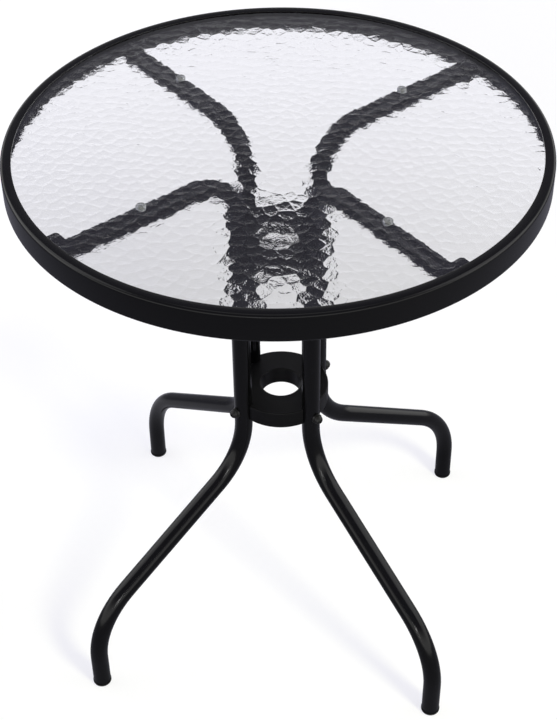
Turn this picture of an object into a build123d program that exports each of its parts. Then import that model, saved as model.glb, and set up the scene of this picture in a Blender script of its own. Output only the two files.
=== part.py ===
from build123d import *
from math import acos, cos, degrees, radians, sin, sqrt, tan
import os

# Round garden table: a rippled glass top held in a steel rim, carried by four bent tube legs.
# The legs are bolted to two moulded rings near the axis and to four brackets inside the rim.
# Millimetres, +Z up, origin on the floor under the middle of the top, front towards -Y.

# Overall
table_height = 700.0
rim_radius = 300.0
leg_count = 4
first_leg_angle = 45.0

# Rim: one strip of sheet steel rolled to a hoop, lip turned in over the glass, hem at the bottom
rim_height = 33.0
rim_wall = 1.5
lip_width = 12.0
lip_edge_round = 0.5
shoulder_radius = 4.0
hem_bend_radius = 3.0
hem_flat = 0.5

# Glass
glass_thickness = 5.0
glass_clearance = 0.5
glass_arris = 0.8

# Leg tube and its route
tube_diameter = 22.0
tube_wall = 1.2
leg_circle_radius = 58.5
foot_circle_radius = 298.0
ankle_height = 109.0
knee_height = 264.5
ankle_bend = 112.0
knee_bend = 98.0
arm_bend = 55.0
arm_end_gap = 1.5

# Hub rings
ring_height = 23.0
ring_hole_radius = 24.5
ring_edge_round = 1.5
ring_web = 7.0
lower_ring_rise = 8.0
upper_ring_drop = 48.0

# Clearances
saddle_gap = 0.2
hole_clearance = 0.25
thread_clearance = 0.05
insert_clearance = 0.05

# Fasteners
bolt_diameter = 6.0
bolt_tip_chamfer = 0.6
head_diameter = 11.0
head_rim = 2.5
head_dome = 4.0
socket_width = 4.0
socket_depth = 2.5
washer_diameter = 13.0
washer_thickness = 1.5
washer_wrap = 1.2
insert_diameter = 9.0
insert_recess = 0.8
insert_grip = 1.0

# Rim brackets: bent plates welded to the inside of the rim, tapped for the arm screws
bracket_thickness = 2.5
bracket_width = 34.0
bracket_length = 26.0
bracket_drop = 18.0
bracket_corner = 4.0
screw_inset = 14.5
screw_tip_inset = 0.3

# Clear bumpers between the arms and the glass
bumper_circle_radius = 181.0
bumper_diameter = 11.0
bumper_height = 4.0
bumper_edge_round = 1.4
peg_diameter = 4.0
peg_length = 6.0

# Foot caps
foot_height = 5.0
foot_overhang = 0.6
foot_round = 3.2
plug_length = 18.0
plug_clearance = 0.2
plug_lead = 1.0

# Levels and radii that follow from the sizes above
rim_inner_radius = rim_radius - rim_wall
lip_radius = rim_radius - lip_width
hem_width = hem_bend_radius + hem_flat
rim_bottom = table_height - rim_height
glass_top = table_height - rim_wall
glass_bottom = glass_top - glass_thickness
glass_radius = rim_radius - max(shoulder_radius, hem_width) - glass_clearance
tube_radius = tube_diameter / 2
tube_bore_radius = tube_radius - tube_wall
arm_height = glass_bottom - bumper_height - tube_radius
arm_end_radius = rim_inner_radius - bracket_thickness - arm_end_gap
screw_circle_radius = rim_inner_radius - screw_inset
bolt_radius = bolt_diameter / 2
bolt_hole_radius = bolt_radius + hole_clearance
thread_radius = bolt_radius + thread_clearance
saddle_radius = tube_radius + saddle_gap
head_seat = saddle_radius + washer_thickness
peg_hole_radius = peg_diameter / 2 + hole_clearance

# The slanting run turns by the same angle at the ankle and at the knee
leg_turn = degrees(acos((knee_height - ankle_height) / sqrt(
    (foot_circle_radius - leg_circle_radius) ** 2 + (knee_height - ankle_height) ** 2)))
knee_end = knee_height + knee_bend * tan(radians(leg_turn / 2))
lower_ring_level = knee_end + lower_ring_rise
upper_ring_level = arm_height - arm_bend - upper_ring_drop - ring_height
bolt_levels = [level + ring_height / 2 for level in (lower_ring_level, upper_ring_level)]

# The threaded insert lies between the saddle's floor and the web left round the ring's hole
saddle_floor = leg_circle_radius - saddle_radius
insert_outer_end = saddle_floor - insert_recess
insert_inner_end = ring_hole_radius + ring_web

# Bracket plate rests on the arm's end
bracket_bottom = arm_height + tube_radius + saddle_gap
bracket_top = bracket_bottom + bracket_thickness


def bolt_plane(radius, height, tube_direction, outwards):
    """Plane on a tube's axis, local X along the tube, local Z out through the bolt's head."""
    return Plane(origin=(radius, 0, height), x_dir=tube_direction, z_dir=outwards)


def dome_bolt(seat_plane, tip):
    """Dome-headed socket bolt whose washer seats on the tube; tip is measured from the tube's axis."""
    dome_radius = (head_diameter ** 2 / 4 + head_dome ** 2) / (2 * head_dome)
    dome_start = head_seat + head_rim
    dome_centre = dome_start + head_dome - dome_radius
    half_angle = acos((dome_start - dome_centre) / dome_radius) / 2
    with BuildPart() as bolt:
        with BuildSketch(Plane(origin=seat_plane.origin, x_dir=seat_plane.z_dir, z_dir=seat_plane.x_dir)):
            with BuildLine():
                Polyline(
                    (dome_start + head_dome, 0),
                    (tip, 0),
                    (tip, bolt_radius - bolt_tip_chamfer),
                    (tip + bolt_tip_chamfer, bolt_radius),
                    (head_seat, bolt_radius),
                    (head_seat, head_diameter / 2),
                    (dome_start, head_diameter / 2),
                )
                ThreePointArc(
                    (dome_start, head_diameter / 2),
                    (dome_centre + dome_radius * cos(half_angle), dome_radius * sin(half_angle)),
                    (dome_start + head_dome, 0),
                )
            make_face()
        revolve(axis=Axis(seat_plane.origin, seat_plane.z_dir))
        with BuildSketch(seat_plane.offset(dome_start + head_dome)):
            RegularPolygon(socket_width / 2, 6, major_radius=False)
        extrude(amount=-socket_depth, mode=Mode.SUBTRACT)
    return bolt


def saddle_washer(seat_plane):
    """Washer hollowed to sit on a tube, flat under the bolt's head."""
    with BuildPart() as washer:
        with BuildSketch(seat_plane.offset(saddle_radius - washer_wrap)):
            Circle(washer_diameter / 2)
            Circle(bolt_hole_radius, mode=Mode.SUBTRACT)
        extrude(amount=washer_wrap + washer_thickness)
        with BuildSketch(Plane(origin=seat_plane.origin, z_dir=seat_plane.x_dir)):
            Circle(saddle_radius)
        extrude(amount=washer_diameter, both=True, mode=Mode.SUBTRACT)
    return washer


def hub_ring(level):
    """Moulded ring with a half-round saddle and a blind bolt pocket for each leg."""
    with BuildPart() as ring:
        with BuildSketch(Plane.XZ):
            with Locations(((ring_hole_radius + leg_circle_radius) / 2, level + ring_height / 2)):
                RectangleRounded(leg_circle_radius - ring_hole_radius, ring_height, ring_edge_round)
        revolve(axis=Axis.Z)
        with BuildSketch(Plane.XY.offset(level)):
            with PolarLocations(leg_circle_radius, leg_count, first_leg_angle):
                Circle(saddle_radius)
        extrude(amount=ring_height, mode=Mode.SUBTRACT)
        with PolarLocations(0, leg_count, first_leg_angle):
            with Locations(Plane(origin=(insert_inner_end, 0, level + ring_height / 2), z_dir=(1, 0, 0))):
                Cylinder(
                    insert_diameter / 2 + insert_clearance,
                    leg_circle_radius - insert_inner_end,
                    align=(Align.CENTER, Align.CENTER, Align.MIN),
                    mode=Mode.SUBTRACT,
                )
    return ring


def thread_insert(height):
    """Brass sleeve moulded into the ring for one bolt."""
    with BuildPart() as insert:
        with BuildSketch(Plane(origin=(insert_inner_end, 0, height), z_dir=(1, 0, 0))):
            Circle(insert_diameter / 2)
            Circle(thread_radius, mode=Mode.SUBTRACT)
        extrude(amount=insert_outer_end - insert_inner_end)
    return insert


os.makedirs("parts", exist_ok=True)

# Glass: flat disc with ground edges, its border under the lip
with BuildPart() as glass:
    with BuildSketch(Plane.XY.offset(glass_bottom)):
        Circle(glass_radius)
    extrude(amount=glass_thickness)
    chamfer(glass.edges().filter_by(GeomType.CIRCLE), glass_arris)

# Rim: the strip's middle line with its two bends, given the sheet's thickness and turned round the axis
with BuildPart() as rim:
    with BuildSketch(Plane.XZ):
        with BuildLine():
            FilletPolyline(
                (lip_radius, table_height - rim_wall / 2),
                (rim_radius - rim_wall / 2, table_height - rim_wall / 2),
                (rim_radius - rim_wall / 2, rim_bottom + rim_wall / 2),
                (rim_radius - hem_width, rim_bottom + rim_wall / 2),
                radius=[shoulder_radius - rim_wall / 2, hem_bend_radius - rim_wall / 2],
            )
        trace(line_width=rim_wall)
    revolve(axis=Axis.Z)
    lip_edges = rim.edges().filter_by(GeomType.CIRCLE).filter_by(Plane.XY).group_by(SortBy.RADIUS)[0]
    fillet(lip_edges.sort_by(Axis.Z)[-1], lip_edge_round)

# Leg: one tube, foot upright, slanting run, upright run beside the rings, level arm to the rim
with BuildPart() as leg:
    with BuildLine(Plane.XZ) as route:
        FilletPolyline(
            (foot_circle_radius, foot_height),
            (foot_circle_radius, ankle_height),
            (leg_circle_radius, knee_height),
            (leg_circle_radius, arm_height),
            (arm_end_radius, arm_height),
            radius=[ankle_bend, knee_bend, arm_bend],
        )
    with BuildSketch(Plane(origin=route.line @ 0, z_dir=route.line % 0)):
        Circle(tube_radius)
        Circle(tube_bore_radius, mode=Mode.SUBTRACT)
    sweep()
    for height in bolt_levels:
        with BuildSketch(Plane(origin=(leg_circle_radius, 0, height), z_dir=(1, 0, 0))):
            Circle(bolt_hole_radius)
        extrude(amount=tube_diameter, both=True, mode=Mode.SUBTRACT)
    with BuildSketch(Plane.XY.offset(arm_height)):
        with Locations((screw_circle_radius, 0)):
            Circle(bolt_hole_radius)
    extrude(amount=tube_diameter, both=True, mode=Mode.SUBTRACT)
    with BuildSketch(Plane.XY.offset(arm_height)):
        with Locations((bumper_circle_radius, 0)):
            Circle(peg_hole_radius)
    extrude(amount=tube_diameter, mode=Mode.SUBTRACT)

# Foot cap: rounded flange under the tube's end and a plug in its bore
with BuildPart() as foot_cap:
    with BuildSketch():
        with Locations((foot_circle_radius, 0)):
            Circle(tube_radius + foot_overhang)
    extrude(amount=foot_height)
    fillet(foot_cap.edges().group_by(Axis.Z)[0], foot_round)
    with BuildSketch(Plane.XY.offset(foot_height)):
        with Locations((foot_circle_radius, 0)):
            Circle(tube_bore_radius - plug_clearance)
    extrude(amount=plug_length)
    chamfer(foot_cap.edges().group_by(Axis.Z)[-1], plug_lead)

# Glass bumper: clear disc hollowed to the arm's top, with a peg in the tube's wall
with BuildPart() as glass_bumper:
    with BuildSketch(Plane.XY.offset(arm_height)):
        with Locations((bumper_circle_radius, 0)):
            Circle(bumper_diameter / 2)
    extrude(amount=glass_bottom - arm_height)
    fillet(glass_bumper.edges().group_by(Axis.Z)[-1], bumper_edge_round)
    with BuildSketch(Plane.YZ.offset(bumper_circle_radius)):
        with Locations((0, arm_height)):
            Circle(saddle_radius)
    extrude(amount=bumper_diameter, both=True, mode=Mode.SUBTRACT)
    with BuildSketch(Plane.XY.offset(arm_height + saddle_radius - peg_length)):
        with Locations((bumper_circle_radius, 0)):
            Circle(peg_diameter / 2)
    extrude(amount=peg_length + bumper_height / 2)

# Rim bracket: plate over the arm's end and a flange against the rim's wall
with BuildPart() as rim_bracket:
    with BuildSketch(Plane.XY.offset(bracket_bottom)):
        Circle(rim_inner_radius)
        with Locations((rim_inner_radius, 0)):
            Rectangle(2 * bracket_length, bracket_width, mode=Mode.INTERSECT)
    extrude(amount=bracket_thickness)
    fillet(rim_bracket.edges().filter_by(Axis.Z).group_by(Axis.X)[0], bracket_corner)
    with BuildSketch(Plane.XY.offset(bracket_top - bracket_drop)):
        Circle(rim_inner_radius)
        Circle(rim_inner_radius - bracket_thickness, mode=Mode.SUBTRACT)
        with Locations((rim_inner_radius, 0)):
            Rectangle(2 * bracket_length, bracket_width, mode=Mode.INTERSECT)
    extrude(amount=bracket_drop)
    with BuildSketch(Plane.XY.offset(bracket_bottom)):
        with Locations((screw_circle_radius, 0)):
            Circle(thread_radius)
    extrude(amount=bracket_thickness, mode=Mode.SUBTRACT)

# Hub rings, the same moulding at two levels
lower_ring = hub_ring(lower_ring_level)
upper_ring = hub_ring(upper_ring_level)

# Fasteners of one leg
ring_planes = [bolt_plane(leg_circle_radius, height, (0, 0, 1), (1, 0, 0)) for height in bolt_levels]
arm_plane = bolt_plane(screw_circle_radius, arm_height, (1, 0, 0), (0, 0, -1))
ring_bolt_tip = insert_inner_end + insert_grip - leg_circle_radius
arm_screw_tip = arm_height - bracket_top + screw_tip_inset
fasteners = {
    "lower_ring_bolts": dome_bolt(ring_planes[0], ring_bolt_tip),
    "upper_ring_bolts": dome_bolt(ring_planes[1], ring_bolt_tip),
    "lower_ring_washers": saddle_washer(ring_planes[0]),
    "upper_ring_washers": saddle_washer(ring_planes[1]),
    "lower_ring_inserts": thread_insert(bolt_levels[0]),
    "upper_ring_inserts": thread_insert(bolt_levels[1]),
    "arm_screws": dome_bolt(arm_plane, arm_screw_tip),
    "arm_washers": saddle_washer(arm_plane),
}

# Single pieces on the axis
for name, piece in {"glass_top": glass, "rim": rim, "lower_ring": lower_ring, "upper_ring": upper_ring}.items():
    piece.part.label = name
    export_step(piece.part, f"parts/{name}.step")

# One of each leg piece at every corner
leg_pieces = {"leg": leg, "foot_cap": foot_cap, "glass_bumper": glass_bumper, "rim_bracket": rim_bracket}
corners = ["rear_right", "rear_left", "front_left", "front_right"]
for corner, place in zip(corners, PolarLocations(0, leg_count, first_leg_angle)):
    for name, blank in leg_pieces.items():
        with BuildPart() as piece:
            with Locations(place):
                add(blank.part)
        piece.part.label = f"{name}_{corner}"
        export_step(piece.part, f"parts/{name}_{corner}.step")

# Each kind of fastener as a set
for name, blank in fasteners.items():
    with BuildPart() as fastener_set:
        with PolarLocations(0, leg_count, first_leg_angle):
            add(blank.part)
    fastener_set.part.label = name
    export_step(fastener_set.part, f"parts/{name}.step")
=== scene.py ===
import math
import random

import bmesh
import bpy
from mathutils import Matrix, Vector, kdtree, noise


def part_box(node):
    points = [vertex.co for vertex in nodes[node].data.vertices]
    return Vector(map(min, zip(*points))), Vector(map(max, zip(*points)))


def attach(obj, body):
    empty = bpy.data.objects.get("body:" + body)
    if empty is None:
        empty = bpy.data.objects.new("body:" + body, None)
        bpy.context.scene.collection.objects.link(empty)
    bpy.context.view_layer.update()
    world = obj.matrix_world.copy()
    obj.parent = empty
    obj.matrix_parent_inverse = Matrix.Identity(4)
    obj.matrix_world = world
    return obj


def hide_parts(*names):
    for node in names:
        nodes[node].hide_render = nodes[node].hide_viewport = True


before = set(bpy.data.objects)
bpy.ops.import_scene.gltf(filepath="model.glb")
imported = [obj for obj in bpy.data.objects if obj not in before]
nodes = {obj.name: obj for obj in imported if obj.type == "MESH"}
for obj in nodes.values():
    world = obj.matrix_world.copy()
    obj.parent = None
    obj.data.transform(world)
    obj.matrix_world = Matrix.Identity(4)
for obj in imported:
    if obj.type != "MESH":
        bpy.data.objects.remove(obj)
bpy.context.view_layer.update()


# The four legs: each is one length of 22 mm steel tube, bent at the ankle, the knee and the arm.
# They are sprayed with black powder and baked, which leaves a satin skin with a fine orange peel.
corners = ("front_left", "front_right", "rear_left", "rear_right")
coat_black = (0.0008, 0.0008, 0.001)
coat_grey = (0.0022, 0.0022, 0.0027)
coat_shine = 0.34
coat_roughness = 0.12
drift_length = 0.09
drift_share = 0.7
drift_roughness = 0.08
peel_length = 0.0019
peel_depth = 0.000012
peel_roughness = 0.03
speck_length = 0.0006
speck_band = (0.62, 0.78)
speck_share = 0.3


class Strand:
    """A socket in a finish, so that patterns add up as plain arithmetic."""

    def __init__(self, tree, socket):
        self.tree = tree
        self.socket = socket

    def node(self, kind, settings, sockets, out=None):
        """Adds a node with its settings and the values or links of its sockets."""
        made = self.tree.nodes.new(kind)
        for name, value in settings.items():
            setattr(made, name, value)
        for name, value in sockets.items():
            target = next(s for s in made.inputs if s.identifier == name)
            if isinstance(value, Strand):
                self.tree.links.new(value.socket, target)
            else:
                target.default_value = value
        found = made.outputs[0]
        if out:
            found = next(s for s in made.outputs if s.identifier == out)
        return Strand(self.tree, found)

    def reckon(self, operation, first, second):
        return self.node("ShaderNodeMath", {"operation": operation}, {"Value": first, "Value_001": second})

    def __add__(self, other):
        return self.reckon("ADD", self, other)

    def __radd__(self, other):
        return self.reckon("ADD", other, self)

    def __sub__(self, other):
        return self.reckon("SUBTRACT", self, other)

    def __rsub__(self, other):
        return self.reckon("SUBTRACT", other, self)

    def __mul__(self, other):
        return self.reckon("MULTIPLY", self, other)

    def __rmul__(self, other):
        return self.reckon("MULTIPLY", other, self)

    def grain(self, length, detail=2.0):
        """Cloudy noise whose clouds are about this long."""
        clouds = {"Vector": self, "Scale": 1 / length, "Detail": detail}
        return self.node("ShaderNodeTexNoise", {}, clouds, "Fac")

    def between(self, low, high):
        """Rises from 0 to 1 between two values."""
        span = {"Value": self, "From Min": low, "From Max": high}
        return self.node("ShaderNodeMapRange", {"clamp": True}, span, "Result")

    def tint(self, low, high):
        """The colour that goes from one to the other as the value goes from 0 to 1."""
        stops = {"Factor_Float": self, "A_Color": (*low, 1.0), "B_Color": (*high, 1.0)}
        return self.node("ShaderNodeMix", {"data_type": "RGBA"}, stops, "Result_Color")

    def dent(self, depth):
        """The normal of a surface that the value dents."""
        return self.node("ShaderNodeBump", {}, {"Height": self, "Distance": depth}, "Normal")

    def part(self, axis):
        """One coordinate of a place."""
        return self.node("ShaderNodeSeparateXYZ", {}, {"Vector": self}, axis)

    def to(self, socket):
        self.tree.links.new(self.socket, self.tree.nodes["Principled BSDF"].inputs[socket])


def new_finish(name, even):
    """A material whose even values are set, and the place on the piece that its patterns read."""
    finish = bpy.data.materials.new(name)
    finish.use_nodes = True
    tree = finish.node_tree
    for socket, value in even.items():
        tree.nodes["Principled BSDF"].inputs[socket].default_value = value
    return finish, Strand(tree, tree.nodes.new("ShaderNodeTexCoord").outputs["Object"])


def paint(finish, *names):
    """Gives a finish to CAD nodes, which keep their own meshes."""
    for name in names:
        nodes[name].material_slots[0].material = finish


powder_coat, place = new_finish("satin_black_powder_coat", {"Specular IOR Level": coat_shine})
drift = place.grain(drift_length, detail=3.0)
peel = place.grain(peel_length, detail=1.0)
specks = place.grain(speck_length, detail=0.0).between(*speck_band)
(drift * drift_share + specks * speck_share).tint(coat_black, coat_grey).to("Base Color")
(coat_roughness + drift * drift_roughness + peel * peel_roughness).to("Roughness")
peel.dent(peel_depth).to("Normal")
paint(powder_coat, *["leg_" + corner for corner in corners])


# The lower and upper rings: moulded in black glass-filled nylon, each with a round hole on the axis.
# The four legs are clamped into the half-round seats in their rims.
nylon_black = (0.0015, 0.0015, 0.0018)
nylon_grey = (0.0035, 0.0035, 0.0041)
nylon_shine = 0.24
nylon_roughness = 0.26
flow_length = 0.03
flow_roughness = 0.1
spark_length = 0.0007
spark_depth = 0.00002
spark_roughness = 0.08
nylon, place = new_finish("black_moulded_nylon", {"Specular IOR Level": nylon_shine})
flow = place.grain(flow_length, detail=4.0)
spark = place.grain(spark_length)
flow.tint(nylon_black, nylon_grey).to("Base Color")
(nylon_roughness + flow * flow_roughness + spark * spark_roughness).to("Roughness")
spark.dent(spark_depth).to("Normal")
paint(nylon, "lower_ring", "upper_ring")


# The threaded inserts: short turned brass sleeves, moulded into the nylon of the rings.
# The leg bolts screw into them.
dull_brass = (0.52, 0.36, 0.15)
bright_brass = (0.8, 0.63, 0.33)
brass_roughness = 0.24
patch_length = 0.004
patch_roughness = 0.2
turning_length = 0.0004
turning_depth = 0.00001
brass, place = new_finish("turned_brass", {"Metallic": 1.0})
patches = place.grain(patch_length, detail=3.0)
patches.tint(dull_brass, bright_brass).to("Base Color")
(brass_roughness + patches * patch_roughness).to("Roughness")
place.grain(turning_length).dent(turning_depth).to("Normal")
paint(brass, "lower_ring_inserts", "upper_ring_inserts")


# The bolts, screws and washers: M6 steel with low domed heads and a hexagon socket, blackened.
# One bolt goes through each leg into each ring, and one screw through each arm's end into its bracket.
steel_black = (0.006, 0.006, 0.007)
steel_grey = (0.016, 0.016, 0.018)
steel_shine = 0.35
steel_roughness = 0.26
rub_length = 0.005
rub_roughness = 0.16
scratch_length = 0.0005
scratch_depth = 0.000008
black_zinc, place = new_finish("blackened_steel", {"Specular IOR Level": steel_shine})
rub = place.grain(rub_length, detail=3.0)
rub.tint(steel_black, steel_grey).to("Base Color")
(steel_roughness + rub * rub_roughness).to("Roughness")
place.grain(scratch_length).dent(scratch_depth).to("Normal")
paint(black_zinc, "lower_ring_bolts", "upper_ring_bolts", "lower_ring_washers", "upper_ring_washers")
paint(black_zinc, "arm_screws", "arm_washers")


# The foot caps: black polyethylene plugs pushed into the tube ends, with a rounded flange.
# They carry the table on the floor and are a little scuffed and dusty along the bottom edge.
cap_black = (0.007, 0.007, 0.0078)
dust_grey = (0.045, 0.043, 0.04)
cap_shine = 0.2
cap_roughness = 0.46
scuff_length = 0.0018
scuff_depth = 0.00004
scuff_roughness = 0.1
dust_height = 0.0032
dust_band = (0.42, 0.7)
dust_roughness = 0.3
polythene, place = new_finish("black_polythene", {"Specular IOR Level": cap_shine})
scuff = place.grain(scuff_length, detail=4.0)
dust = (1 - place.part("Z").between(0.0, dust_height)) * scuff.between(*dust_band)
dust.tint(cap_black, dust_grey).to("Base Color")
(cap_roughness + dust * dust_roughness + scuff * scuff_roughness).to("Roughness")
scuff.dent(scuff_depth).to("Normal")
paint(polythene, *["foot_cap_" + corner for corner in corners])


# The rim brackets: pressed plates of 2.5 mm steel, welded to the inside of the rim and coated with it.
# Each one lies on an arm's end and takes the arm screw's thread.
paint(powder_coat, *["rim_bracket_" + corner for corner in corners])


# The rim: a hoop of 1.5 mm sheet steel, rolled with a lip over the glass, a round shoulder and a hem.
# Its ends are welded and ground flush, and it has the same black powder coat as the legs.
rim_low, rim_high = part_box("rim")
lip_width = 0.012
hem_width = 0.0035
rim_radius = rim_high.x
lip_radius = rim_radius - lip_width
hem_radius = rim_radius - hem_width
sheet = 0.0015
shoulder_bend = 0.004
hem_bend = 0.003
bend_steps = 12
lip_edge_round = 0.0005
lip_edge_steps = 3
hoop_steps = 360
hoop_crease = math.radians(40)
same_place = 0.00005


def round_loop(shape, reach, level, bend, steps):
    """Rounds the sharp circle that lies at a radius and height."""
    def on_circle(point):
        return abs(point.co.xy.length - reach) < same_place and abs(point.co.z - level) < same_place
    loop = [edge for edge in shape.edges if all(on_circle(point) for point in edge.verts)]
    rounding = {"affect": "EDGES", "segments": steps, "profile": 0.5, "material": -1}
    bmesh.ops.bevel(shape, geom=loop, offset=bend, offset_type="OFFSET", **rounding)


def new_piece(name, shape, finish, crease=None):
    """Makes an object of a shape, smooth up to a crease angle or else as the shape's faces say."""
    mesh = bpy.data.meshes.new(name)
    shape.to_mesh(mesh)
    shape.free()
    mesh.materials.append(finish)
    if crease:
        mesh.shade_smooth()
        mesh.set_sharp_from_angle(angle=crease)
    piece = bpy.data.objects.new(name, mesh)
    bpy.context.scene.collection.objects.link(piece)
    return piece


strip = bmesh.new()
path = [(lip_radius, rim_high.z), (rim_radius, rim_high.z), (rim_radius, rim_low.z), (hem_radius, rim_low.z)]
points = [strip.verts.new((reach, 0.0, level)) for reach, level in path]
flats = [strip.edges.new(pair) for pair in zip(points, points[1:])]
whole_turn = {"cent": (0, 0, 0), "axis": (0, 0, 1), "angle": math.tau, "steps": hoop_steps, "use_merge": True}
bmesh.ops.spin(strip, geom=points + flats, **whole_turn)
bmesh.ops.recalc_face_normals(strip, faces=strip.faces)
round_loop(strip, rim_radius, rim_high.z, shoulder_bend, bend_steps)
round_loop(strip, rim_radius, rim_low.z, hem_bend, bend_steps)
bmesh.ops.solidify(strip, geom=strip.faces[:], thickness=sheet)
bmesh.ops.recalc_face_normals(strip, faces=strip.faces)
round_loop(strip, lip_radius, rim_high.z, lip_edge_round, lip_edge_steps)
rim_hoop = new_piece("rim_hoop", strip, powder_coat, hoop_crease)
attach(rim_hoop, "root")
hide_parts("rim")


# The glass bumpers: clear soft PVC buttons with a peg pushed into a hole on top of each arm.
# The glass rests on their flat tops.
pvc_shade = (0.72, 0.75, 0.79)
pvc_light = (0.9, 0.92, 0.95)
pvc_even = {"Transmission Weight": 0.85, "IOR": 1.53}
pvc_roughness = 0.12
haze_length = 0.003
haze_depth = 0.00008
haze_roughness = 0.16
soft_pvc, place = new_finish("clear_soft_pvc", pvc_even)
haze = place.grain(haze_length, detail=3.0)
haze.tint(pvc_shade, pvc_light).to("Base Color")
(pvc_roughness + haze * haze_roughness).to("Roughness")
haze.dent(haze_depth).to("Normal")
paint(soft_pvc, *["glass_bumper_" + corner for corner in corners])


# The glass top: one disc of 5 mm toughened glass, flat above and rolled with a pebbled face below.
# That face is low domes with soft grooves between them. The disc lies loose on the bumpers under the lip.
glass_low, glass_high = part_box("glass_top")
glass_radius = glass_high.x
glass_arris = 0.0008
pebbled_radius = glass_radius - glass_arris
edge_sides = 128
edge_sides_near = 7
dome_pitch = 0.0162
dome_scatter = 0.33
dome_margin = 0.35 * dome_pitch
dome_reach = 2 * dome_pitch
dome_neighbours = 16
dome_blank_sides = 12
dome_rings = ((0.1, 0.0), (0.24, 0.1), (0.48, 0.3))
dome_unevenness = 0.00003
unevenness_length = 0.006
groove_depth = 0.00023
groove_power = 2.8
shortest_groove = 0.0027
long_groove = 2 * shortest_groove
groove_cuts = 3
groove_smoothing = 0.5
groove_sway = 0.002
sway_length = 0.007
faces_down = -0.5
pattern_seed = 11
roller = random.Random(pattern_seed)
noise.seed_set(pattern_seed)


def scattered_middles(reach, pitch, scatter):
    """The middles of the domes, on a triangular grid that the roller's pattern scatters."""
    row_step = pitch * math.sqrt(3) / 2
    rows = math.ceil(reach / row_step)
    columns = math.ceil(reach / pitch)
    found = []
    for row in range(-rows, rows + 1):
        for column in range(-columns, columns + 1):
            x = (column + (row % 2) / 2 + roller.uniform(-scatter, scatter)) * pitch
            y = row * row_step + roller.uniform(-scatter, scatter) * pitch
            if math.hypot(x, y) < reach - dome_margin:
                found.append(Vector((x, y, 0.0)))
    return found


def dome_cuts(middle, finder):
    """The planes that bound one dome: half-way to each neighbour, and along the edge of the disc."""
    for other, _, _ in finder.find_n(middle, dome_neighbours)[1:]:
        yield (middle + other) / 2, other - middle
    if middle.length > pebbled_radius - dome_reach:
        step = math.tau / edge_sides
        nearest = round(math.atan2(middle.y, middle.x) / step)
        for side in range(nearest - edge_sides_near, nearest + edge_sides_near + 1):
            outward = Vector((math.cos(side * step), math.sin(side * step), 0.0))
            yield outward * pebbled_radius, outward


def next_ring(shell, edges, reach, level):
    """Draws an open edge out to a new round ring."""
    grown = bmesh.ops.extrude_edge_only(shell, edges=edges)["geom"]
    for point in (part for part in grown if isinstance(part, bmesh.types.BMVert)):
        point.co = Vector((*(point.co.xy.normalized() * reach), level))
    return [part for part in grown if isinstance(part, bmesh.types.BMEdge) and part.is_boundary]


middles = scattered_middles(pebbled_radius, dome_pitch, dome_scatter)
finder = kdtree.KDTree(len(middles))
for index, middle in enumerate(middles):
    finder.insert(middle, index)
finder.balance()
shell = bmesh.new()
one_dome = bpy.data.meshes.new("one_dome")
for middle in middles:
    dome = bmesh.new()
    blank = {"segments": dome_blank_sides, "radius": dome_reach, "matrix": Matrix.Translation(middle)}
    bmesh.ops.create_circle(dome, cap_ends=True, **blank)
    for point, facing in dome_cuts(middle, finder):
        whole = dome.verts[:] + dome.edges[:] + dome.faces[:]
        bmesh.ops.bisect_plane(dome, geom=whole, plane_co=point, plane_no=facing, clear_outer=True)
    dome.to_mesh(one_dome)
    dome.free()
    shell.from_mesh(one_dome)
bpy.data.meshes.remove(one_dome)
bmesh.ops.remove_doubles(shell, verts=shell.verts, dist=shortest_groove)
long_grooves = [groove for groove in shell.edges if groove.calc_length() > long_groove]
bmesh.ops.bisect_edges(shell, edges=long_grooves, cuts=groove_cuts)
inner_points = [point for point in shell.verts if not point.is_boundary]
bmesh.ops.smooth_vert(shell, verts=inner_points, factor=groove_smoothing)
for point in shell.verts:
    if not point.is_boundary:
        point.co.xy += groove_sway * noise.noise_vector(point.co / sway_length).xy
    point.co.z = glass_low.z + groove_depth
domes = list(shell.faces)
reached = 0.0
for share, roundness in dome_rings:
    bmesh.ops.inset_individual(shell, faces=domes, thickness=0.0, depth=0.0)
    for dome in domes:
        crown = dome.calc_center_median()
        even_reach = dome.calc_perimeter() / math.tau
        for point in dome.verts:
            reach = (point.co - crown).length
            rounder = 1 + roundness * (even_reach / reach - 1)
            point.co = crown.lerp(point.co, rounder * (1 - share) / (1 - reached))
            uneven = dome_unevenness * noise.noise(point.co / unevenness_length)
            point.co.z = glass_low.z + groove_depth * (1 - share) ** groove_power + uneven
    reached = share
for crown in bmesh.ops.poke(shell, faces=domes, offset=0.0, center_mode="MEAN")["verts"]:
    crown.co.z = glass_low.z
edge = [side for side in shell.edges if side.is_boundary]
edge = next_ring(shell, edge, glass_radius, glass_low.z + glass_arris)
edge = next_ring(shell, edge, glass_radius, glass_high.z - glass_arris)
edge = next_ring(shell, edge, glass_radius - glass_arris, glass_high.z)
bmesh.ops.contextual_create(shell, geom=edge)
bmesh.ops.recalc_face_normals(shell, faces=shell.faces)
for face in shell.faces:
    face.smooth = face.normal.z < faces_down

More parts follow.
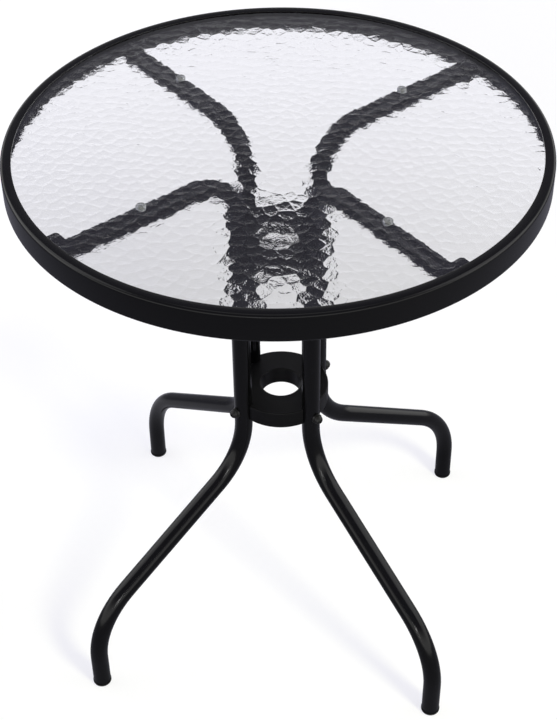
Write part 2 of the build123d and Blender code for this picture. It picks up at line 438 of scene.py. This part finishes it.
glass_shade = (0.885, 0.885, 0.915)
glass_light = (0.905, 0.905, 0.932)
glass_even = {"Transmission Weight": 1.0, "IOR": 1.5}
tint_length = 0.11
smear_length = 0.05
smear_band = (0.5, 0.9)
smear_roughness = 0.03
rolled_band = (glass_low.z + 0.001, glass_low.z + 0.002)
crinkle_length = 0.005
crinkle_depth = 0.00018
fine_crinkle_length = 0.0018
fine_crinkle_share = 0.5
clear_glass, place = new_finish("clear_toughened_glass", glass_even)
place.grain(tint_length).tint(glass_shade, glass_light).to("Base Color")
(place.grain(smear_length, detail=4.0).between(*smear_band) * smear_roughness).to("Roughness")
rolled_face = 1 - place.part("Z").between(*rolled_band)
crinkle = place.grain(crinkle_length) + place.grain(fine_crinkle_length, detail=1.0) * fine_crinkle_share
(crinkle * rolled_face).dent(crinkle_depth).to("Normal")
glass = new_piece("rippled_glass", shell, clear_glass)
glass.visible_shadow = False
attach(glass, "root")
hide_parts("glass_top")


# The floor: a wide sheet of matt white studio paper that the four feet stand on.
# It is white to the eye, with the legs' soft shadows, and a painted pool of light brightens the rear left.
# Polish and glass see painted shade: dimmer under the table, brighter further out; polish sees the pool too.
floor_half = 14.0
paper_grey = (0.3, 0.3, 0.3)
paper_in_polish = (0.1, 0.1, 0.15)
no_glow = (0.0, 0.0, 0.0)
cool_glow = (1.0, 1.0, 1.06)
# The painted pool of light at the rear left of the floor lies between these two bands.
painted_pool_left_band = (-0.35, 0.05)
painted_pool_rear_band = (-0.1, 0.3)
eye_glow = 0.7
eye_glow_far = 0.3
eye_far_band = (1.2, 5.0)
# How bright the painted pool of light at the rear left is to the eye.
eye_painted_pool = 0.07
# Painted shade of the table, seen through the glass: a dim glow under the table that rises further out.
glass_glow = 0.4
glass_glow_beyond_painted_shade = 0.455
painted_table_shade_band = (0.4, 1.36)
polish_glow = 0.09
# How bright the painted pool of light at the rear left is in polish, and where it fades out.
polish_painted_pool = 0.3
polish_painted_pool_end_band = (0.55, 0.85)
paper = bmesh.new()
bmesh.ops.create_grid(paper, x_segments=1, y_segments=1, size=floor_half)
paper_finish = bpy.data.materials.new("white_studio_paper")
paper_finish.use_nodes = True
paper_tree = paper_finish.node_tree
paper_tree.nodes.remove(paper_tree.nodes["Principled BSDF"])
spot = Strand(paper_tree, paper_tree.nodes.new("ShaderNodeTexCoord").outputs["Object"])
eye = spot.node("ShaderNodeLightPath", {}, {}, "Is Camera Ray")
gloss = spot.node("ShaderNodeLightPath", {}, {}, "Is Glossy Ray")
through = spot.node("ShaderNodeLightPath", {}, {}, "Is Transmission Ray")
polish = (gloss - through).between(0.0, 1.0)
from_axis = spot.node("ShaderNodeVectorMath", {"operation": "LENGTH"}, {"Vector": spot}, "Value")
# A painted pool of light on the floor at the rear left, seen by the eye and in polish.
rear_left = (1 - spot.part("X").between(*painted_pool_left_band)) * spot.part("Y").between(*painted_pool_rear_band)
to_the_eye = eye_glow + from_axis.between(*eye_far_band) * eye_glow_far + rear_left * eye_painted_pool
# Painted shade of the table: the floor that shows through the glass is dimmer near the axis.
through_glass = glass_glow + from_axis.between(*painted_table_shade_band) * glass_glow_beyond_painted_shade
in_polish = polish_glow + rear_left * (1 - from_axis.between(*polish_painted_pool_end_band)) * polish_painted_pool
brightness = eye * to_the_eye + polish * in_polish + through * through_glass
matt = spot.node("ShaderNodeBsdfDiffuse", {}, {"Color": polish.tint(paper_grey, paper_in_polish)})
glow = spot.node("ShaderNodeEmission", {}, {"Color": brightness.tint(no_glow, cool_glow)})
both = spot.node("ShaderNodeAddShader", {}, {"Shader": matt, "Shader_001": glow})
paper_tree.links.new(both.socket, paper_tree.nodes["Material Output"].inputs["Surface"])
new_piece("studio_floor", paper, paper_finish)


# The studio: a pale wall all round that darkens towards the ceiling, one broad dim lamp overhead and a
# large soft lamp at each side. A small lamp with a grid in front lights only the legs, and a warm lamp at
# the front right casts their shadows on the floor without a mirror image in polish or glass.
wall_white = (1.2, 1.2, 1.2)
ceiling_grey = (0.178, 0.175, 0.222)
ceiling_band = (0.27, 0.525)
warm_light = (1.0, 1.0, 0.6)
grid_spread = math.radians(16)
studio = bpy.data.worlds.new("studio")
studio.use_nodes = True
bpy.context.scene.world = studio
studio_tree = studio.node_tree
looking = Strand(studio_tree, studio_tree.nodes.new("ShaderNodeTexCoord").outputs["Generated"])
surround = looking.part("Z").between(*ceiling_band).tint(wall_white, ceiling_grey)
studio_tree.links.new(surround.socket, studio_tree.nodes["Background"].inputs["Color"])


def soft_lamp(name, stand, aim, width, tall, brightness, spread=math.pi):
    """A flat lamp with a face of the given brightness, turned to a point; a grid narrows its spread."""
    lamp = bpy.data.lights.new(name, "AREA")
    lamp.shape = "RECTANGLE"
    lamp.size = width
    lamp.size_y = tall
    lamp.spread = spread
    lamp.energy = brightness * math.pi * width * tall * (1 - spread / 2 / math.tan(spread / 2))
    piece = bpy.data.objects.new(name, lamp)
    piece.location = stand
    piece.rotation_euler = (Vector(aim) - Vector(stand)).to_track_quat("-Z", "Y").to_euler()
    bpy.context.scene.collection.objects.link(piece)
    return piece


soft_lamp("overhead_lamp", stand=(0.0, -0.2, 3.2), aim=(0.0, 0.0, 0.5), width=1.8, tall=1.2, brightness=0.6)
soft_lamp("front_lamp", stand=(0.0, -3.6, 1.35), aim=(0.0, -0.1, 0.13), width=0.25, tall=0.25,
          brightness=60.0, spread=grid_spread)
soft_lamp("left_lamp", stand=(-2.6, 0.3, 2.4), aim=(0.0, 0.0, 0.4), width=2.7, tall=2.7, brightness=1.2)
soft_lamp("right_lamp", stand=(2.4, 0.3, 2.4), aim=(0.0, 0.0, 0.4), width=2.3, tall=2.3, brightness=1.2)
shadow_lamp = soft_lamp("shadow_lamp", stand=(2.53, -2.27, 3.4), aim=(0.0, 0.0, 0.0), width=0.8, tall=0.9,
                        brightness=71.0)
shadow_lamp.data.color = warm_light
shadow_lamp.visible_glossy = False
shadow_lamp.visible_transmission = False
bpy.context.scene.view_settings.view_transform = "Standard"


# The camera: a short telephoto above the front edge, looking down at the top as the photograph does.
# Its place, angle and focal length are those that fit the rim, the feet and the lower ring there.
camera_stand = (0.17562, -1.43064, 1.63906)
camera_turn = math.radians(7.097)
camera_tilt = math.radians(48.957)
camera_roll = math.radians(-0.802)
focal_length = 78.459
film_height = 36.0
lens = bpy.data.cameras.new("camera")
lens.sensor_fit = "VERTICAL"
lens.sensor_height = film_height
lens.lens = focal_length
camera = bpy.data.objects.new("camera", lens)
turned = Matrix.Rotation(camera_turn, 4, "Z") @ Matrix.Rotation(camera_tilt, 4, "X")
camera.matrix_world = Matrix.Translation(camera_stand) @ turned @ Matrix.Rotation(camera_roll, 4, "Z")
bpy.context.scene.collection.objects.link(camera)
bpy.context.scene.camera = camera
